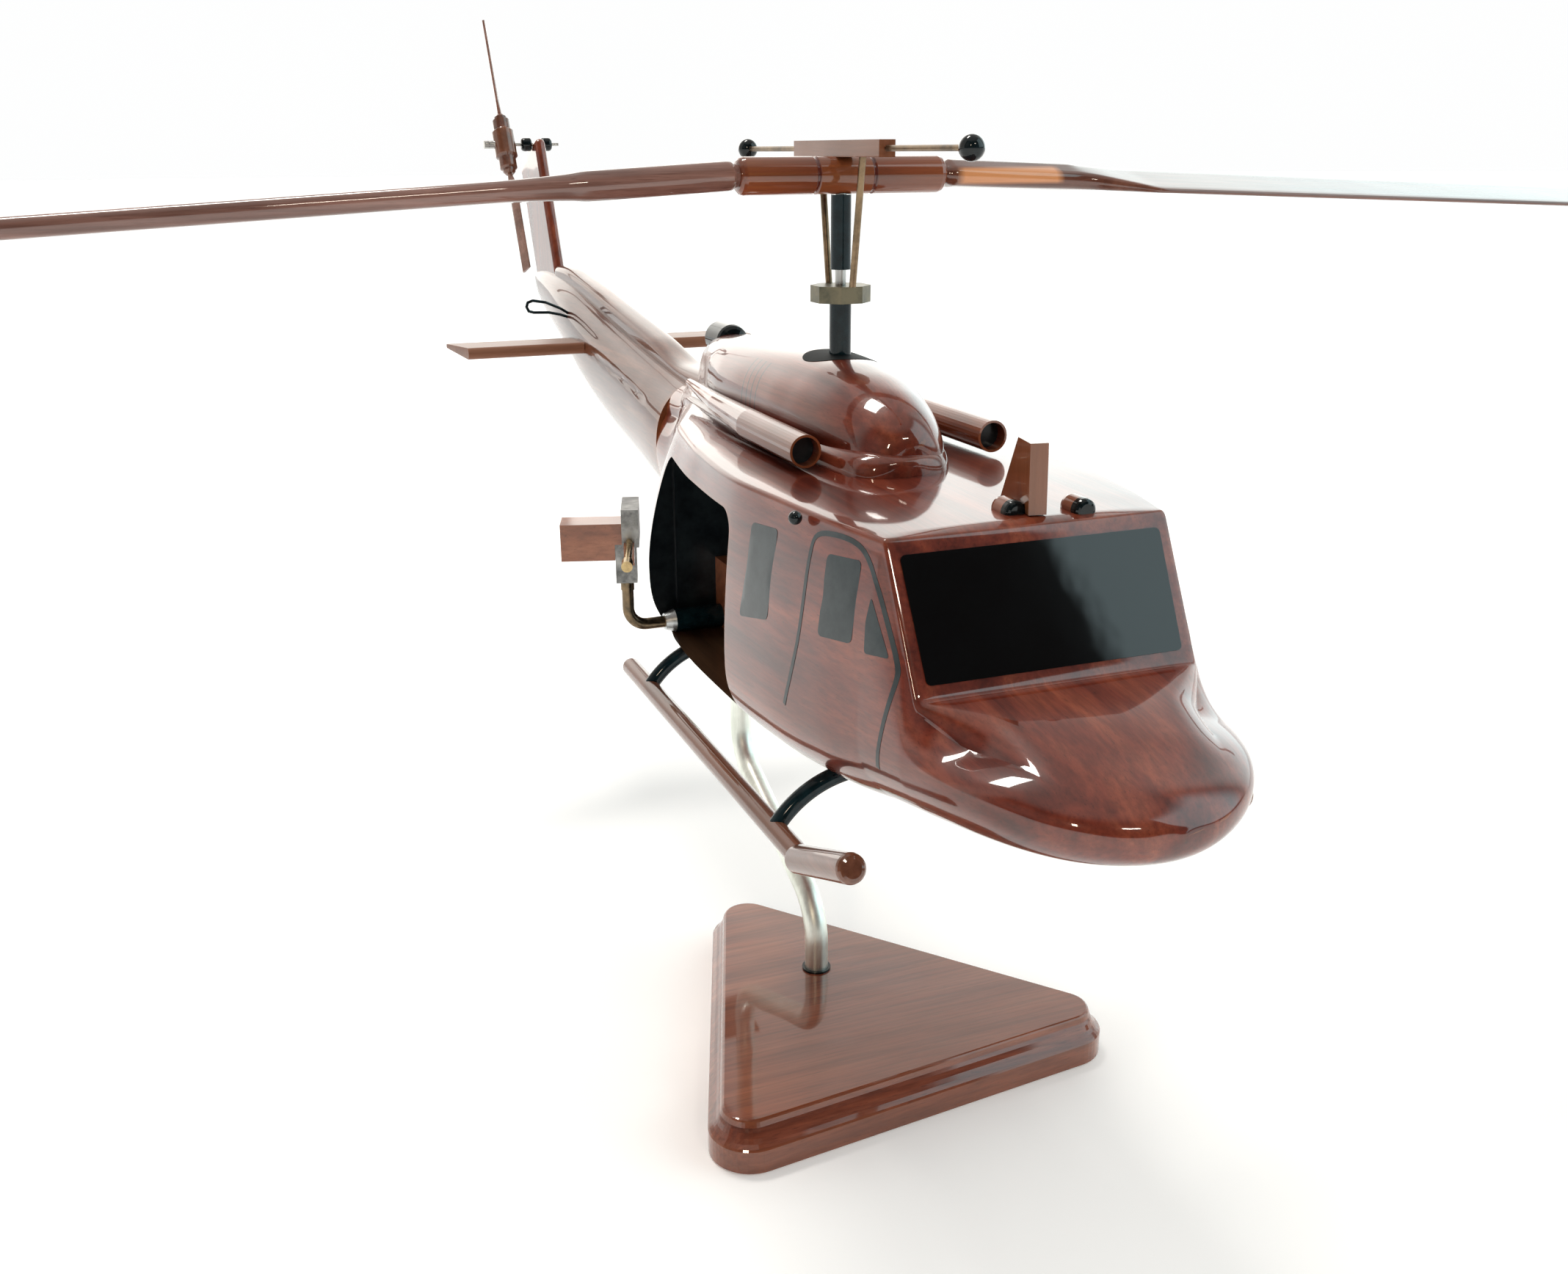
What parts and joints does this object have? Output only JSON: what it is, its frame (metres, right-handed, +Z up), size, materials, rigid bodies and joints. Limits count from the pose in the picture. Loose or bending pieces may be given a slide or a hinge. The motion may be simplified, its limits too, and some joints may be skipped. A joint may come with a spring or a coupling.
{
  "type": "helicopter scale model",
  "caption": "Desk model of a utility helicopter in lacquered hardwood, with turning rotors, swivelling door guns and a bent metal rod on a three-cornered wooden board",
  "frame": {"origin": "on the board's underside, straight below the main rotor's mast", "axes": "+Z up, -Y towards the nose, +X towards the model's port side, which is the left side for someone sitting in it"},
  "size_m": [0.4873, 0.4636, 0.2663],
  "materials": {
    "hardwood": "high-gloss lacquer",
    "pale_hardwood": "gloss lacquer",
    "black_lacquer": "gloss black paint",
    "grey_paint": "grey paint under lacquer",
    "rod_metal": "satin",
    "steel": "satin",
    "brass": "dull",
    "black_metal": "gloss black",
    "solder": "solder, satin"
  },
  "bodies": {
    "stand": {"stand_base": "hardwood", "stand_rod": "rod_metal", "rod_ring": "black_lacquer"},
    "airframe": {"rod_socket": "steel", "fuselage": "hardwood", "windshield": "black_lacquer", "side_windows": "grey_paint", "door_lines": "grey_paint", "cabin_liner": "black_lacquer", "rear_bench": "pale_hardwood", "seat_backs": "black_lacquer", "gun_cross_tube": "black_metal", "gun_tube_collars": "solder", "cowling_sill": "hardwood", "engine_cowling": "hardwood", "intake_ducts": "hardwood", "intake_throats": "black_lacquer", "exhaust_nozzle": "black_lacquer", "mast_disc": "black_lacquer", "mast_bush": "steel", "blade_antenna": "hardwood", "ram_vents": "hardwood", "vent_caps": "black_lacquer", "position_light": "black_lacquer", "tail_boom": "hardwood", "drive_shaft_cover": "hardwood", "stabilizer_starboard": "hardwood", "stabilizer_port": "hardwood", "tail_fin": "hardwood", "loop_antenna": "black_metal", "tail_rotor_beads": "black_lacquer", "skid_tubes": "hardwood", "skid_toes": "hardwood", "front_cross_tube": "black_metal", "rear_cross_tube": "black_metal", "gun_posts": "brass"},
    "main_rotor": {"rotor_mast": "steel", "lower_sleeve": "black_metal", "swash_block": "brass", "pitch_links": "brass", "upper_sleeve": "black_metal", "rotor_hub": "hardwood", "main_blade_a": "hardwood", "main_blade_b": "hardwood", "stabilizer_block": "hardwood", "stabilizer_rods": "brass", "bar_weights": "black_lacquer"},
    "tail_rotor": {"tail_rotor_axle": "steel", "tail_rotor_hub": "hardwood", "tail_rotor_blades": "hardwood"},
    "gun_starboard_body": {"gun_starboard": "black_metal", "barrel_starboard": "brass", "foregrip_starboard": "pale_hardwood", "ammo_box_starboard": "pale_hardwood"},
    "gun_port_body": {"gun_port": "black_metal", "barrel_port": "brass", "foregrip_port": "pale_hardwood", "ammo_box_port": "pale_hardwood"}
  },
  "joints": [
    {"name": "airframe_lift", "type": "slide", "parent": "stand", "child": "airframe", "axis": [0, 0, 1], "range_m": [0, 0.01]},
    {"name": "main_rotor_spin", "type": "hinge", "parent": "airframe", "child": "main_rotor", "pos_m": [0, 0, 0.2], "axis": [0, 0, 1], "continuous": true},
    {"name": "tail_rotor_spin", "type": "hinge", "parent": "airframe", "child": "tail_rotor", "pos_m": [0, 0.3005, 0.2195], "axis": [1, 0, 0], "continuous": true},
    {"name": "gun_starboard_swivel", "type": "hinge", "parent": "airframe", "child": "gun_starboard_body", "pos_m": [-0.0434, 0.027, 0.1194], "axis": [0, 0, 1], "range_deg": [-75, 12]},
    {"name": "gun_port_swivel", "type": "hinge", "parent": "airframe", "child": "gun_port_body", "pos_m": [0.0434, 0.027, 0.1194], "axis": [0, 0, 1], "range_deg": [-12, 75]}
  ]
}
